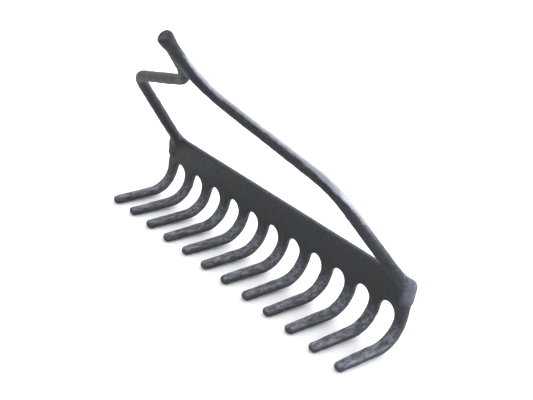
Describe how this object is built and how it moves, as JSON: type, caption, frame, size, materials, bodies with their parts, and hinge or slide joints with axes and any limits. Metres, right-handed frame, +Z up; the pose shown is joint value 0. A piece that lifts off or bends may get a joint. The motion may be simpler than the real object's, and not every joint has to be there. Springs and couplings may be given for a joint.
{
  "type": "bow rake head",
  "caption": "Forged garden rake head: a toothed bar with forward-bent tines, carried by a two-armed bow that closes in a round neck for a handle.",
  "frame": {"origin": "middle of the bounding box at the level of the tines' flat undersides, on which the head stands", "axes": "+X along the toothed bar, -Y towards the handle, +Z up"},
  "size_m": [0.3214, 0.1533, 0.2201],
  "materials": {
    "forged_steel": "dark, hammered, half-dull forged steel"
  },
  "bodies": {
    "root": {"rake_head": "forged_steel"}
  },
  "joints": []
}
